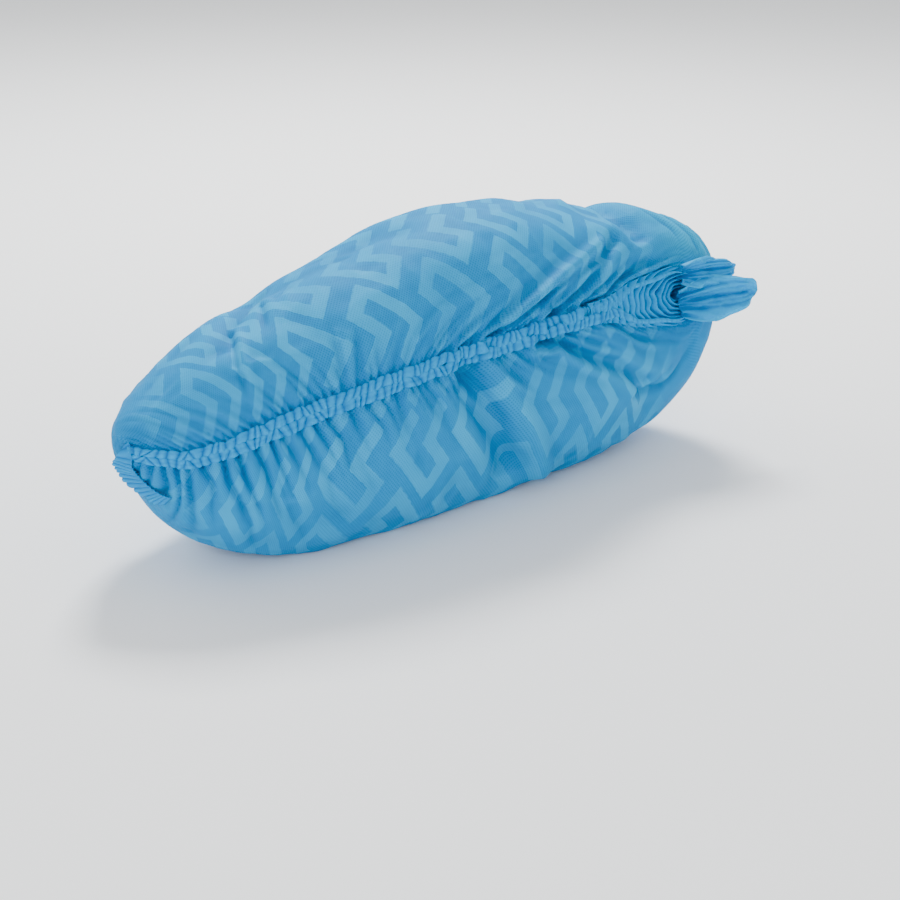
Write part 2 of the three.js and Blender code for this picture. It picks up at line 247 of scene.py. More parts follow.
# Folds of the cloth: a line of (share, round) places, its half width and its depth in millimetres
# (less than 0 is a ridge), and the height of the bank beside it as a share of the depth, with the
# sign of its side.
folds = [
    # the main dents, which the solid part has too
    ([(0.25, 0.27), (0.14, 0.155)], 7.2, 3.8, 0),
    ([(0.845, 0.26), (0.84, 0.08)], 6.6, 5.4, 0),
    ([(0.745, 0.18), (0.76, 0.30)], 9.0, -2.2, 0),
    ([(0.46, 0.98), (0.54, 0.86)], 8.4, 9.6, 0),
    ([(0.49, 0.985), (0.61, 0.83)], 4.8, -3.0, 0),
    ([(0.53, 0.015), (0.74, 0.075)], 3.3, -2.6, 0),
    ([(0.62, 0.012), (0.78, 0.075)], 3.6, 4.8, 0),
    ([(0.68, 0.008), (0.84, 0.035)], 3.0, 3.4, 0),
    ([(0.64, 0.985), (0.80, 0.915)], 4.2, 4.2, 0),
    ([(0.81, 0.88), (0.90, 0.93)], 9.0, 3.6, 0),
    ([(0.30, 0.42), (0.46, 0.52)], 10.2, 3.6, 0),
    ([(0.63, 0.50), (0.70, 0.62)], 12.0, 4.2, 0),
    ([(0.10, 0.46), (0.19, 0.58)], 8.4, 2.9, 0),
    # broad slack places along the upper outline
    ([(0.27, 0.225), (0.43, 0.225)], 13.0, 3.0, 0),
    ([(0.78, 0.145), (0.88, 0.095)], 9.0, 2.2, 0),
    # sharp folds that run out from the mouth
    ([(0.442, 0.001), (0.478, 0.011), (0.528, 0.026), (0.557, 0.037)], 1.5, 1.9, 0.8),
    ([(0.490, 0.001), (0.537, 0.010), (0.588, 0.023), (0.646, 0.040), (0.680, 0.047)], 1.7, 3.8, 0.9),
    ([(0.524, 0.004), (0.618, 0.026), (0.731, 0.050)], 1.9, -1.5, 0),
    ([(0.600, 0.001), (0.634, 0.006), (0.677, 0.021), (0.725, 0.041), (0.757, 0.052)], 1.7, 4.0, 0.9),
    ([(0.650, 0.002), (0.700, 0.012), (0.745, 0.028), (0.775, 0.036)], 1.4, 1.8, 0.8),
    ([(0.680, 0.001), (0.715, 0.004), (0.754, 0.013), (0.806, 0.021), (0.840, 0.030)], 1.5, 3.2, 1.0),
    ([(0.735, 0.001), (0.797, 0.003), (0.877, 0.010), (0.912, 0.023)], 1.4, 2.2, 0.9),
    ([(0.410, 0.002), (0.455, 0.020), (0.490, 0.034)], 1.5, 1.2, 0.7),
    ([(0.575, 0.999), (0.619, 0.993), (0.678, 0.960), (0.769, 0.921)], 1.8, 3.6, -1.0),
    ([(0.640, 0.999), (0.690, 0.978), (0.760, 0.953)], 1.5, 2.0, -0.8),
    ([(0.715, 0.999), (0.772, 0.983), (0.873, 0.967)], 1.4, 1.8, -0.8),
    ([(0.440, 0.999), (0.454, 0.990), (0.491, 0.954), (0.532, 0.910)], 2.4, 3.4, -0.5),
    ([(0.505, 0.999), (0.530, 0.975), (0.570, 0.945)], 1.6, 2.2, -0.7),
    ([(0.365, 0.999), (0.378, 0.975), (0.400, 0.945)], 1.8, 1.8, -0.6),
    # creases where the body bends or is dented
    ([(0.165, 0.180), (0.138, 0.107), (0.128, 0.040)], 1.7, 1.7, 0.7),
    ([(0.133, 0.097), (0.175, 0.083)], 1.8, -1.0, 0),
    ([(0.223, 0.187), (0.195, 0.130)], 1.8, 1.4, 0.5),
    ([(0.265, 0.063), (0.258, 0.010)], 2.0, 1.5, 0.5),
    ([(0.290, 0.055), (0.283, 0.008)], 1.8, 1.2, -0.5),
    ([(0.375, 0.030), (0.422, 0.053)], 1.6, -0.9, 0),
    ([(0.313, 0.010), (0.367, 0.070)], 1.8, -0.8, 0),
    ([(0.770, 0.900), (0.843, 0.897), (0.905, 0.925)], 2.0, 2.2, 0.6),
    ([(0.957, 0.139), (0.969, 0.092), (0.972, 0.030)], 1.5, 1.2, 0.6),
    ([(0.925, 0.150), (0.940, 0.100), (0.943, 0.045)], 1.5, 1.1, 0.6),
    ([(0.893, 0.140), (0.910, 0.095), (0.912, 0.050)], 1.5, 0.9, 0.6),
    ([(0.758, 0.925), (0.800, 0.896), (0.850, 0.925)], 1.8, 2.4, 0.4),
]


foldShape = {
    "sharpUnder": 0.003, "sharpness": 1.35, # narrower folds have a sharp bottom, of this exponent
    "taperFrom": 0.55, "taper": 0.85, # a fold with a bank has lost this share of its depth at its far end
    "bankAway": 1.9, "bankWide": 1.2, # place and half width of the bank, in half widths of the fold
    "scattered": 70,
}


def scatteredFolds():
    # short shallow creases at random places and in random directions, clear of the lips
    made = []
    for _ in range(foldShape["scattered"]):
        at, around = random.uniform(0.06, 0.94), random.uniform(0.06, 0.94)
        turn = random.uniform(0, math.pi)
        reach = random.uniform(0.025, 0.07)
        to = (at + reach * math.cos(turn), around + 0.8 * reach * math.sin(turn))
        wide, deep = random.uniform(1.4, 3.2), random.uniform(0.25, 0.8) * random.choice([-1, 1])
        made.append(([(at, around), to], wide, deep, random.uniform(-0.6, 0.6)))
    return made


def foldLift(share, round_):
    # each fold is a groove round its line, bell-shaped where it is broad and with a sharp bottom
    # where it is narrow, with a lower bank on one side of it
    girth = math.pi * 0.5 * (body["depth"] + body["height"])
    lift = np.zeros(np.broadcast(share, round_).shape)
    for line, wide, deep, bank in folds + scatteredFolds():
        wide, deep = wide / 1000, deep / 1000
        away = np.full(lift.shape, 1e3)
        side, way = np.zeros(lift.shape), np.zeros(lift.shape)
        for part, ((a, b), (c, d)) in enumerate(zip(line, line[1:])):
            runX, runY = (c - a) * body["length"], (d - b) * girth
            x, y = (share - a) * body["length"], (round_ - b) * girth
            t = np.clip((x * runX + y * runY) / (runX**2 + runY**2), 0, 1)
            distance = np.hypot(x - t * runX, y - t * runY)
            nearer = distance < away
            side = np.where(nearer, np.sign(runX * y - runY * x) * distance, side)
            way = np.where(nearer, (part + t) / (len(line) - 1), way)
            away = np.where(nearer, distance, away)
        if bank:
            deep = deep * (1 - foldShape["taper"] * smoothStep(foldShape["taperFrom"], 1.0, way))
        sharpness = 2 if wide > foldShape["sharpUnder"] else foldShape["sharpness"]
        lift -= deep * np.exp(-(away / wide) ** sharpness)
        if bank:
            beside = side * np.sign(bank) - foldShape["bankAway"] * wide
            fromBank = np.hypot(beside, np.sqrt(np.maximum(away**2 - side**2, 0)))
            lift += np.abs(bank * deep) * np.exp(-(fromBank / (foldShape["bankWide"] * wide)) ** 2)
    return lift


# Gathers that the elastic pulls into the cloth, over and under the mouth. share, pitch of the
# pleats, how high they stand, how far they run (all in millimetres), and their lean: how far they
# drift to the heel for each millimetre that they run away from the mouth.
gathers = {
    "upper": np.array([
        [0.00, 3.2, 1.8, 8, -0.8],
        [0.10, 3.8, 2.0, 10, -0.7],
        [0.22, 4.6, 1.9, 12, -0.4],
        [0.34, 4.8, 1.5, 10, 0.4],
        [0.43, 5.0, 1.5, 10, 1.2],
        [0.55, 5.0, 1.6, 10, 2.4],
        [0.70, 5.0, 1.3, 9, 3.0],
        [0.85, 5.0, 1.0, 8, 3.4],
        [1.00, 5.0, 0.6, 8, 3.0],
    ]),
    "lower": np.array([
        [0.00, 4.4, 4.6, 20, 0.0],
        [0.05, 5.8, 5.2, 26, 0.1],
        [0.12, 6.8, 4.6, 24, 0.3],
        [0.22, 7.2, 3.4, 17, 0.4],
        [0.36, 7.0, 2.4, 13, 0.4],
        [0.48, 7.0, 2.4, 13, 0.7],
        [0.58, 6.6, 2.0, 12, 1.3],
        [0.70, 6.0, 1.4, 10, 2.2],
        [0.85, 5.4, 1.1, 10, 3.0],
        [1.00, 5.0, 0.6, 8, 3.0],
    ]),
    # the fine puckers beside the hem: pitch, height and reach (millimetres)
    "pucker": 3.4, "puckerHigh": 1.1, "puckerReach": 3.6,
    "beat": 0.32, "drift": 0.2, "ownHeight": 0.45, "ownReach": 0.4, # how much the pleats differ
    "swells": 0.41, "swellHigh": 0.55, "swellReach": 2.3, # shares of the pleats' number, height and reach
}


def runAlong(path):
    # length along a row of points from the first one, in millimetres
    return np.concatenate([[0], np.cumsum(np.linalg.norm(np.diff(path, axis=0), axis=1))]) * 1000


def lipRun(share, side):
    # length along the lip from the toe, in millimetres
    even = np.linspace(0, 1, 1500)
    run = runAlong(smoothPoint(even, side * halfAngle(even, lipGap(even))))
    outside = np.where(share < 0, share, np.maximum(share - 1, 0)) * body["length"] * 1000
    return np.interp(share, even, run) + outside


def puckerNumber(share, side):
    # the puckers of the hem and of the cloth beside it, counted along the lip with an uneven beat
    number = lipRun(share, side) / gathers["pucker"] + (0.5 if side > 0 else 0.0)
    return number + 0.45 * smoothNoise(number * 0.6, 3.0 + side)


def pleatLift(share, fromLip, rows, side, seed):
    # rounded ridges with sharp valleys, |sin| of the pleat number, each of its own height; they
    # fade away from the mouth, and every second or third one runs on as a wider, lower swell
    at = rows[:, 0]
    read = lambda column, where: np.interp(where, at, rows[:, column])
    foot = share - read(4, share) * fromLip / body["length"]
    even = np.linspace(-0.3, 1.3, 1601)
    count = np.concatenate([[0], np.cumsum(np.diff(lipRun(even, side)) / read(1, even[1:]))])
    number = np.interp(foot, even, count)
    beat = smoothNoise(number * 0.7, seed)
    drift = smoothNoise(number * 0.9, fromLip * 90 + seed)
    number = number + gathers["beat"] * beat + gathers["drift"] * drift
    own = 1 + gathers["ownHeight"] * smoothNoise(np.floor(number) + 0.5, seed + 5.5)
    fine = ridges(number, 0.5, 1.35)
    uneven = smoothNoise(number * 0.8, seed + 9.5)
    reach = read(3, share) / 1000 * (1 + gathers["ownReach"] * uneven)
    high = read(2, share) / 1000
    lift = 0.5 * high * own * fine * np.exp(-(fromLip / reach) ** 2)
    wideNumber = number * gathers["swells"] + 0.5 * smoothNoise(number * 0.2, seed + 2.5)
    wide = ridges(wideNumber, 0.8, 1.2)
    strength = 0.5 + 0.5 * smoothNoise(wideNumber * 0.8, seed + 7.5)
    rising = 1 - np.exp(-(fromLip / (0.5 * reach)) ** 2)
    falling = np.exp(-(fromLip / (gathers["swellReach"] * reach)) ** 2)
    lift += gathers["swellHigh"] * high * strength * wide * rising * falling
    pucker = ridges(puckerNumber(share, side), 0.6, 1.3)
    near = np.exp(-(fromLip * 1000 / gathers["puckerReach"]) ** 2)
    return lift + 0.0005 * gathers["puckerHigh"] * pucker * near


slackness = {
    "girth": 345, # the way round the body, in millimetres
    "swells": [(1.2, 34, 30, 3, 7), (0.6, 15, 13, 31, 5)], # height, size along and round, and seeds
    "crumples": (0.45, 9, 10, 50, 20), "patches": 40, # the crumples come and go in patches of this size
    "tautBy": (0.004, 0.03), # distance from the lips over which the cloth goes slack, in metres
}


def clothLift(share, round_):
    # everything that lifts or sinks the cloth from the smooth body: the valley along the hem, the
    # gathers, the folds, broad slackness and the small crumples of a cover that was packed flat
    section, rounding = readSection(share), endRounding(share)
    girth = girthAt(share)
    fromLip = np.minimum(round_, 1 - round_) * girth
    valley = section["valley"] * body["hemWidth"] * np.exp(-(fromLip / body["valleyReach"]) ** 2)
    upper = pleatLift(share, fromLip, gathers["upper"], 1, 11)
    lower = pleatLift(share, fromLip, gathers["lower"], -1, 47)
    gather = np.where(round_ < 0.5, upper, lower)
    x, y = share * body["length"] * 1000, round_ * slackness["girth"]
    slack = sum(high * smoothNoise(x / long + u, y / wide + v)
                for high, long, wide, u, v in slackness["swells"])
    high, long, wide, u, v = slackness["crumples"]
    patches = 0.5 + 0.5 * smoothNoise(x / slackness["patches"], y / slackness["patches"])
    crumple = high * (1 - 2 * np.abs(smoothNoise(x / long + u, y / wide + v))) * patches
    soft = (slack + crumple) / 1000 * smoothStep(*slackness["tautBy"], fromLip)
    return gather * np.sqrt(rounding) + (foldLift(share, round_) + soft - valley) * rounding


hem = {
    "stations": 1400, "columns": 16, "width": 0.0041, "overlap": 0.12,
    "height": 0.0027, "stand": 0.0002,
    "swell": 0.74, "pinch": 0.22, # how much thinner and narrower it is between the puckers
    "wrinkle": 0.16, "ownWidth": 0.14, "ownHeight": 0.40, # how much the puckers differ
    "wander": 0.0005, "slant": 0.0010, "stitch": 0.30, # their sway and lean, and the stitch line's depth
    "calmFrom": 0.73, "calmTo": 0.80, # where the puckers give way to lower folds round the gape
    "calmShare": 0.6, "calmNarrow": 0.45, "taperFrom": 0.84, "taper": 0.65,
}


# the cloth

cloth = {
    "stations": 520, "columns": 184,
    "endCrowding": 0.30, "lipCrowding": 1.7,
    "tuck": 0.0034, "tuckDepth": 0.0009, # how far and how deep the lips run on under the hem
    "hollowReach": (7, 4), # grid cells along and round over which the painted shade and highlight look for hollows and ridges
    "hollowShadeGain": 1500, "ridgeHighlightGain": 1200, # painted shade in hollows and painted highlight on ridges, for each metre of relief
    "gatheredReach": 0.013,
    "thinFrom": (0.82, 0.96), "thinRound": (0.2, 0.5), # the upper heel, where the cloth is stretched thin and painted lighter, as light shining through it
    "flat": (0.40, 0.33), "flatArea": 0.120,
}

antiSlip = {
    # shares at which one repeat of the print after another begins; it thins out at both ends
    "at": [0.092, 0.152, 0.217, 0.330, 0.432, 0.555, 0.652, 0.748],
    "toeFade": (0.015, 0.035), "heelFade": (0.84, 0.87),
    "unit": 14.5, "marginAbove": 17.0, "marginBelow": 12.0, # millimetres
    # in units: a repeat along and across, where the first one starts, the bottom row and the top row
    "repeat": 2.9, "rowHeight": 4.75, "start": 1.414, "bottom": -1.03, "top": 22.43,
    "stroke": 0.225, # half width
    "show": 0.62, "showLoss": 0.35, # how much of it shows, and how much less where the cloth is gathered
    # where each zigzag starts along a repeat, and its corners on a lattice turned by 45 degrees
    "zigzags": [
        (0.37, [(0, -1), (1, -1), (1, 0), (2, 0), (2, -2), (1, -2)]),
        (0.90, [(4.8, 0.05), (3.8, 0.05), (3.8, -0.95), (2.8, -0.95), (2.8, 1.05), (3.8, 1.05)]),
    ],
}


def printPlace(share, round_):
    # along: repeats counted from the listed shares; across: distance from the upper lip on the
    # upper half and from the lower lip on the lower half, eased into each other behind
    at = antiSlip["at"]
    knots = [at[0] - 1.6 * 0.06] + at + [at[-1] + 3.0 * 0.1]
    count = np.interp(share, knots, [-1.6, 0, 1, 2, 3, 4, 5, 6, 7, 10])
    along = antiSlip["start"] + antiSlip["repeat"] * count
    girth = girthAt(share) * 1000
    above = (round_ * girth - antiSlip["marginAbove"]) / antiSlip["unit"]
    below = antiSlip["top"] - ((1 - round_) * girth - antiSlip["marginBelow"]) / antiSlip["unit"]
    ease = smoothStep(0.30, 0.70, round_)
    return np.stack(np.broadcast_arrays(along, above * (1 - ease) + below * ease), axis=-1)


def localRelief(lift, reach):
    # height over the average of the neighbours in a window of so many cells to each side
    spread = lift
    for axis, cells in enumerate(reach):
        window = np.ones(2 * cells + 1) / (2 * cells + 1)
        padding = [(cells, cells) if k == axis else (0, 0) for k in (0, 1)]
        spread = np.pad(spread, padding, mode="edge")
        spread = np.apply_along_axis(lambda line: np.convolve(line, window, mode="valid"), axis, spread)
    return lift - spread


def paintCloth(share, round_, fromLip, lift):
    # what the material reads: how far a place is gathered, stretched thin (painted lighter there, as light
    # shining through), printed, and how much painted shade its hollow and painted highlight its ridge get
    gathered = np.exp(-(fromLip / cloth["gatheredReach"]) ** 2)
    gathered = gathered * (0.8 + 0.2 * smoothNoise(share * 60, round_ * 20))
    # painted light shining through the cloth where it is stretched thin at the upper heel
    shineThrough = smoothStep(*cloth["thinFrom"], share) * (1 - smoothStep(*cloth["thinRound"], round_))
    ragged = share + 0.012 * smoothNoise(share * 30, round_ * 30)
    printed = (1 - smoothStep(*antiSlip["heelFade"], ragged)) * smoothStep(*antiSlip["toeFade"], share)
    behind = smoothStep(0.12, 0.3, round_) * smoothStep(0.97, 0.8, round_)
    worn = 0.80 + 0.3 * smoothNoise(share * 14 + 9, round_ * 16)
    printed = printed * worn * (1 - behind * smoothStep(0.10, 0.05, share))
    # painted shade in the hollows and painted highlight on the ridges, from the height over the neighbours
    relief = localRelief(lift, cloth["hollowReach"])
    return {
        "gathered": gathered, "shineThrough": shineThrough, "printed": np.clip(printed, 0, 1),
        "hollowShade": np.clip(-relief * cloth["hollowShadeGain"], 0, 1),
        "ridgeHighlight": np.clip(relief * cloth["ridgeHighlightGain"], 0, 1),
    }


def makeCoverCloth():
    # the smooth body pushed out by clothLift, on a grid that is finer at both ends and at the lips;
    # the lips run on under the hem, and meet near both ends, where the mouth closes
    even = np.linspace(0, 1, cloth["stations"])
    share = even - cloth["endCrowding"] * np.sin(2 * math.pi * even) / (2 * math.pi)
    side = 2 * np.linspace(0, 1, cloth["columns"])
    crowd = lambda value: 0.5 * np.abs(value) ** cloth["lipCrowding"]
    round_ = np.where(side <= 1, crowd(side), 1 - crowd(2 - side))
    share, round_ = np.meshgrid(share, round_, indexing="ij")
    lip = lipGap(share)
    tuck = cloth["tuck"] * (1 - smoothStep(hem["calmFrom"], hem["calmTo"], share))
    closed = smoothStep(0, 0.010, share) * smoothStep(1.0, 0.94, share)
    half = halfAngle(share, (lip - np.minimum(tuck, 0.9 * lip)) * closed)
    angle = half + round_ * 2 * (math.pi - half)
    normal = outwards(share, angle)
    fromLip = np.minimum(round_, 1 - round_) * girthAt(share)
    lift = clothLift(share, round_) - cloth["tuckDepth"] * np.exp(-(fromLip / cloth["tuck"]) ** 4)
    points = smoothPoint(share, angle) + normal * lift[..., None]
    points[..., 2] = np.maximum(points[..., 2], 0.0)
    return gridMesh("coverCloth", points, uv=printPlace(share, round_), poles=True,
                    paint=paintCloth(share, round_, fromLip, lift))


coverCloth = makeCoverCloth()
print("cover cloth made")


# the elastic hem

def lipLift(share, upperSide):
    # the hem lies in the valley of the cloth, and follows its folds by a little more than half
    section = readSection(share)
    round_ = np.full_like(share, 0.0 if upperSide else 1.0)
    return (foldLift(share, round_) * 0.6 - section["valley"] * body["hemWidth"]) * endRounding(share)


def makeHemRow(name, side):
    # a flattened tube along the lip; its width and thickness follow |sin| of the pucker's number,
    # counted along the real length; where the mouth gapes it thins to a smooth rolled edge
    share = np.linspace(0, 1, hem["stations"])
    share = body["hemStart"] + (body["hemEnd"] - body["hemStart"]) * (0.75 * share + 0.25 * share**2)
    calm = smoothStep(hem["calmFrom"], hem["calmTo"], share)
    opened = 0.5 * (readSection(share)["gape"] - 1) * body["mouthSlot"] * calm
    taper = 1 - hem["taper"] * smoothStep(hem["taperFrom"], body["hemEnd"], share)
    width = hem["width"] * (1 - hem["calmNarrow"] * calm) * taper
    middle = (opened + (0.5 - hem["overlap"]) * width) * (1 - calm)
    middle = middle + (lipGap(share) - 0.5 * width) * calm
    number = puckerNumber(share, side)
    own = smoothNoise(np.floor(number) + 0.5, 20.5 + 3 * side)
    puff = np.abs(np.sin(math.pi * number)) ** 0.6
    drawn = (1 - puff) * (1 - hem["calmShare"] * calm)
    wrinkled = 1 + hem["wrinkle"] * smoothNoise(number * 4.5, 33.0 + side)
    wide = 0.5 * width * (1 - hem["pinch"] * drawn) * (1 + hem["ownWidth"] * own)
    high = 0.5 * hem["height"] * (1 - hem["swell"] * drawn) * wrinkled * taper
    high = high * (1.05 + hem["ownHeight"] * own)
    drift = hem["wander"] * smoothNoise(number * 0.7, 40.0 + side) * (1 - calm)
    theta = np.linspace(0, 2 * math.pi, hem["columns"], endpoint=False)
    theta2 = np.broadcast_to(theta, (len(share), len(theta)))
    lean = 0.1 + 1.4 * smoothNoise(number * 0.8, 60.0 + side)
    slant = hem["slant"] * lean * (1 - calm)
    along = np.clip(share[:, None] + slant[:, None] * np.cos(theta2) / body["length"], 0.002, 0.905)
    angle = side * halfAngle(along, (middle + drift)[:, None] + wide[:, None] * np.cos(theta2))
    normal = outwards(along, side * halfAngle(along, np.broadcast_to(middle[:, None], along.shape)))
    stitched = 1 - hem["stitch"] * np.exp(-(np.cos(theta2) / 0.30) ** 2) * (1 - calm[:, None])
    height = high[:, None] * np.sin(theta2) * stitched
    lift = lipLift(share, side > 0)[:, None] + height + hem["stand"]
    points = smoothPoint(along, angle) + normal * lift[..., None]
    if side > 0:
        points = points[:, ::-1]
    # painted shade between the puckers and along the stitch line
    shade = np.clip(1.5 * drawn[:, None] + 1.2 * (1 - stitched), 0, 1.3)
    piece = gridMesh(name, points, closed=True, paint={"pinchShade": shade})
    capEnds(piece, len(share), len(theta))
    return piece


def capEnds(piece, rows, columns):
    # one face over each open end of the tube, and all faces turned outwards
    soft = bmesh.new()
    soft.from_mesh(piece.data)
    soft.verts.ensure_lookup_table()
    soft.faces.new([soft.verts[k] for k in range(columns)])
    soft.faces.new([soft.verts[(rows - 1) * columns + k] for k in reversed(range(columns))])
    bmesh.ops.recalc_face_normals(soft, faces=soft.faces)
    soft.to_mesh(piece.data)
    soft.free()
    piece.data.update()


hemUpper = makeHemRow("hemUpper", 1)
hemLower = makeHemRow("hemLower", -1)
print("hem made")


# the pleats that fill the gaping end of the mouth

funnel = {
    "start": 0.690, "end": 0.985, "rows": 330, "columns": 110, "thickness": 0.0004,
    "hole": 0.903, "holeDepth": 0.0085, "bowlDepth": 0.0040,
    "holeSize": 4.5, "bowlSize": 22.0, "pitch": 3.8, # millimetres
    "ripple": 0.0021, "narrow": 2.2, # height of the rings, and how much narrower than long they are
}


def makeMouthPleats():
    # a trough between the two rims that sinks to a hole near its heel end; its ripples are rings
    # of a stretched circle round the hole, cut off by the rims into nested crescents
    share = np.linspace(funnel["start"], funnel["end"], funnel["rows"])
    across = np.linspace(-1, 1, funnel["columns"])
    share, across = np.meshgrid(share, across, indexing="ij")
    halfGap = lipGap(share) - 0.5 * body["hemWidth"] * smoothStep(0.80, 0.72, share)
    angle = across * halfAngle(share, halfGap)
    x = (share - funnel["hole"]) * body["length"] * 1000
    y = across * halfGap * 1000
    x = x + 1.2 * smoothNoise(x / 7 + 4, y / 4 + 60)
    ring = np.hypot(x * np.where(x > 0, 0.8, 1.0), y * funnel["narrow"])
    wobble = smoothNoise(x / 5 + 14, y / 3 + 30)
    phase = ring / funnel["pitch"] + 0.22 * wobble
    own = 1 + 0.5 * smoothNoise(np.floor(phase) + 0.5, y / 6 + 12)
    opening = 1 - 0.5 * smoothStep(0, 8, x)
    crest = ridges(phase, 0.7, 1.2)
    ripple = funnel["ripple"] * own * opening * crest * smoothStep(0.3, 2.5, ring)
    sink = funnel["holeDepth"] * np.exp(-(ring / funnel["holeSize"]) ** 2)
    sink = sink + funnel["bowlDepth"] * np.exp(-(ring / funnel["bowlSize"]) ** 2)
    rim = smoothStep(1.0, 0.72, np.abs(across)) * smoothStep(funnel["end"], funnel["end"] - 0.012, share)
    lift = 0.5 * (lipLift(share[:, 0], True) + lipLift(share[:, 0], False))[:, None]
    lift = lift - 0.0002 - sink * rim + ripple * (0.35 + 0.65 * rim)
    points = smoothPoint(share, angle) + outwards(share, angle * 0) * lift[..., None]
    # painted shade in the valleys between the rings and down into the hole
    shade = 0.36 * (1 - ripple / funnel["ripple"]) + sink * 90
    paint = {"pinchShade": np.clip(shade, 0, 1.3)}
    return gridMesh("mouthPleats", points, paint=paint, thickness=funnel["thickness"])


mouthPleats = makeMouthPleats()
print("mouth pleats made")


# the tuft of loose cloth

tuft = {
    "thickness": 0.00045, "rows": 110, "columns": 56,
    "length": 0.036, "width": 0.019, "fold": 0.22, "blunt": 4.6, "leafWall": 0.0022,
    # Share at which the root lies, how far it lies over the middle of the mouth (of the width) and
    # off it (of the solid leaf's wall), length, widths at the root and over and under the midrib,
    # and degrees that the leaf points away from +X to the front and up.
    "leaves": [
        {"name": "tuftLeafLong", "at": 0.888, "side": -0.22, "off": 0.0, "seed": 5.0,
         "long": 1.18, "root": 0.66, "above": 0.53, "below": 0.53, "swing": 17, "rise": 4},
        {"name": "tuftLeafShort", "at": 0.893, "side": 0.50, "off": 0.3, "seed": 15.0,
         "long": 0.98, "root": 0.60, "above": 0.30, "below": 0.46, "swing": 6, "rise": -2},
    ],
    "rimWave": 0.17, # of the width
    "gather": 0.0009, "wave": 0.0022, "wrinkle": 0.0009, "tipCurl": 0.0026, "rimCurl": 0.0016,
    # creases of a petal: where they start and end across it, half width and depth (millimetres)
    "creases": [(0.10, -0.08, 0.11, 2.4), (0.45, 0.66, 0.08, 1.2), (-0.30, -0.66, 0.09, 1.4),
                (0.25, 0.30, 0.05, 0.8), (-0.10, -0.40, 0.07, 0.9)],
}


def leafFrame(leaf):
    # the root's place, and the directions along, across and out of the leaf
    swing, rise = math.radians(leaf["swing"]), math.radians(leaf["rise"])
    along = np.array([math.cos(swing) * math.cos(rise), -math.sin(swing), math.sin(rise)])
    facing = np.array([0, -1, 0.35]) + 0.5 * along
    facing /= np.linalg.norm(facing)
    across = np.cross(facing, along)
    across /= np.linalg.norm(across)
    at = np.array([leaf["at"]])
    angle = halfAngle(at, leaf["side"] * tuft["width"])
    rootFold = tuft["fold"] * leaf["root"] * min(leaf["above"], leaf["below"]) * tuft["width"]
    lift = lipLift(at, True) + body["fit"] + (leaf["off"] + 0.5) * tuft["leafWall"] - rootFold
    root = (smoothPoint(at, angle) + outwards(at, angle) * lift[..., None])[0]
    return root, along, across, np.cross(along, across)


def makeLeaf(leaf):
    # a petal: rows from root to tip, columns across, as wide as a sine of the way along that the
    # square root of 1 - way^blunt rounds off; the edges rise as a power of the distance from the midrib,
    # creases start at the root and fan out, and the rim waves and curls
    root, along, across, face = leafFrame(leaf)
    rows, columns = np.linspace(0, 1, tuft["rows"]), np.linspace(-1, 1, tuft["columns"])
    s, v = np.meshgrid(rows, columns, indexing="ij")
    seed = leaf["seed"]
    belly = np.sin(math.pi * np.clip(s, 0, 1)) ** 0.8
    rounded = np.sqrt(np.maximum(1 - s ** tuft["blunt"], 0.0004))
    width = tuft["width"] * (leaf["root"] + (1 - leaf["root"]) * belly) * rounded
    rimWave = 1 + tuft["rimWave"] * smoothNoise(s * 5 + seed, np.sign(v) * 3 + seed) * np.abs(v) ** 2
    wide = np.where(v < 0, leaf["below"], leaf["above"]) * width * rimWave
    fold = tuft["fold"] * wide * np.abs(v) ** 1.5
    crease = np.zeros_like(s)
    for start, end, half, deep in tuft["creases"]:
        away = v - start - (end - start) * s - 0.05 * smoothNoise(s * 5 + 9 * half, seed)
        fading = smoothStep(1.0, 0.8, s) * (1.1 - 0.5 * s)
        crease -= deep / 1000 * np.exp(-np.abs(away / half) ** 1.4) * fading
    gather = tuft["gather"] * np.cos(v * 13 + 3 * smoothNoise(s * 4, v * 2 + seed)) * (1 - s) ** 2.5
    wave = tuft["wave"] * smoothNoise(s * 3 + seed, v * rounded * 1.4 + 9)
    wave = wave + tuft["wrinkle"] * smoothNoise(s * 11, v * rounded * 5 + seed)
    curl = -tuft["tipCurl"] * smoothStep(0.72, 1.0, s) * (1 - 0.5 * v * rounded)
    curl = curl - tuft["rimCurl"] * smoothStep(0.75, 1, np.abs(v)) * smoothStep(0.1, 0.4, s) * rounded
    height = fold + crease + gather + wave + curl
    points = root + (s * leaf["long"] * tuft["length"])[..., None] * along
    points = points + (v * wide)[..., None] * across + height[..., None] * face
    # painted shade in the creases and gathers, and deepest at the root
    pinchShade = np.clip(-crease * 700 - gather * 300 + 0.9 * (1 - s) ** 4, 0, 1.2)
    edge = smoothStep(0.8, 1.0, np.abs(v))
    paint = {"edge": edge, "pinchShade": pinchShade}
    return gridMesh(leaf["name"], points, paint=paint, thickness=tuft["thickness"])


leaves = [makeLeaf(leaf) for leaf in tuft["leaves"]]
print("tuft made")


# the frill at the toe

frill = {
    # places on the body along its foot and its free edge: share and round
    "foot": [(0.006, 1.30), (0.006, 1.08), (0.007, 0.970), (0.012, 0.930),
             (0.019, 0.910), (0.029, 0.905), (0.040, 0.920)],
    "free": [(0.0004, 1.30), (0.0005, 0.90), (0.003, 0.730), (0.009, 0.755),
             (0.017, 0.780), (0.027, 0.805), (0.039, 0.850)],
    "rows": 300, "columns": 16, "thickness": 0.0004,
    "stand": 0.0007, "rise": 0.0019, "ruffle": 0.0016,
    "pitch": 2.2, # millimetres
}


